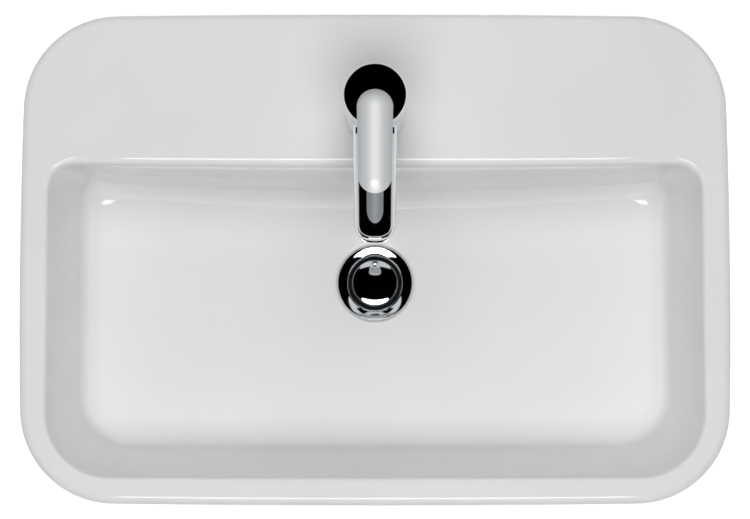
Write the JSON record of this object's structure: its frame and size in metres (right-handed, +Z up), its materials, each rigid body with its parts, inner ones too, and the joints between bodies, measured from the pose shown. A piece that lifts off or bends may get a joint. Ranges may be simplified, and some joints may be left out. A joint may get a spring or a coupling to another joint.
{
  "type": "countertop basin",
  "caption": "Rectangular white ceramic countertop basin with rounded corners, a tap deck with a chrome single-lever tap, and a raised chrome click waste.",
  "frame": {"origin": "on the countertop, under the middle of the basin", "axes": "+X to the right, +Y to the back, +Z up"},
  "size_m": [0.6, 0.416, 0.2942],
  "materials": {
    "glazed_ceramic": "glossy white glaze",
    "chrome": "polished chrome plate on brass",
    "satin_chrome": "soft chrome plate on brass",
    "brass": "machined",
    "steel": "plain stainless",
    "white_plastic": "moulded",
    "blue_plastic": "moulded",
    "technical_ceramic": "lapped",
    "black_rubber": "moulded"
  },
  "bodies": {
    "fixed": {"basin": "glazed_ceramic", "tap_body": "chrome", "dome_cover": "chrome", "cartridge_nut": "brass", "cartridge_housing": "white_plastic", "fixed_disc": "technical_ceramic", "cartridge_base": "blue_plastic", "cartridge_seals": "black_rubber", "aerator_housing": "chrome", "aerator_insert": "white_plastic", "aerator_seal": "black_rubber", "tap_base_seal": "black_rubber", "fixing_stud": "brass", "deck_pad": "black_rubber", "clamp_plate": "steel", "stud_nut": "brass", "waste_body": "chrome", "flange_seal": "black_rubber", "lower_seal": "black_rubber", "slip_washer": "white_plastic", "back_nut": "brass", "click_housing": "white_plastic", "click_spring": "steel"},
    "turret": {"cartridge_turret": "white_plastic", "stem_pin": "steel"},
    "lever": {"lever_handle": "satin_chrome", "lever_stem": "steel", "handle_screw": "steel", "handle_plug": "chrome"},
    "disc": {"moving_disc": "technical_ceramic", "disc_holder": "blue_plastic"},
    "plug": {"plug_cap": "chrome", "plug_seal": "black_rubber", "click_plunger": "steel"}
  },
  "joints": [
    {"name": "lever_turn", "type": "hinge", "parent": "fixed", "child": "turret", "pos_m": [0, 0.12, 0.246], "axis": [0, 0, 1], "range_deg": [-50, 50]},
    {"name": "lever_lift", "type": "hinge", "parent": "turret", "child": "lever", "pos_m": [0, 0.12, 0.246], "axis": [-1, 0, 0], "range_deg": [0, 25]},
    {"name": "disc_slide", "type": "slide", "parent": "turret", "child": "disc", "axis": [0, -1, 0], "range_m": [0, 0.0049]},
    {"name": "plug_press", "type": "slide", "parent": "fixed", "child": "plug", "axis": [0, 0, 1], "range_m": [-0.008, 0], "deforming": ["click_spring"]}
  ],
  "couplings": [
    {"joint": "disc_slide", "follows": "lever_lift", "m_per_rad": 0.01114}
  ]
}
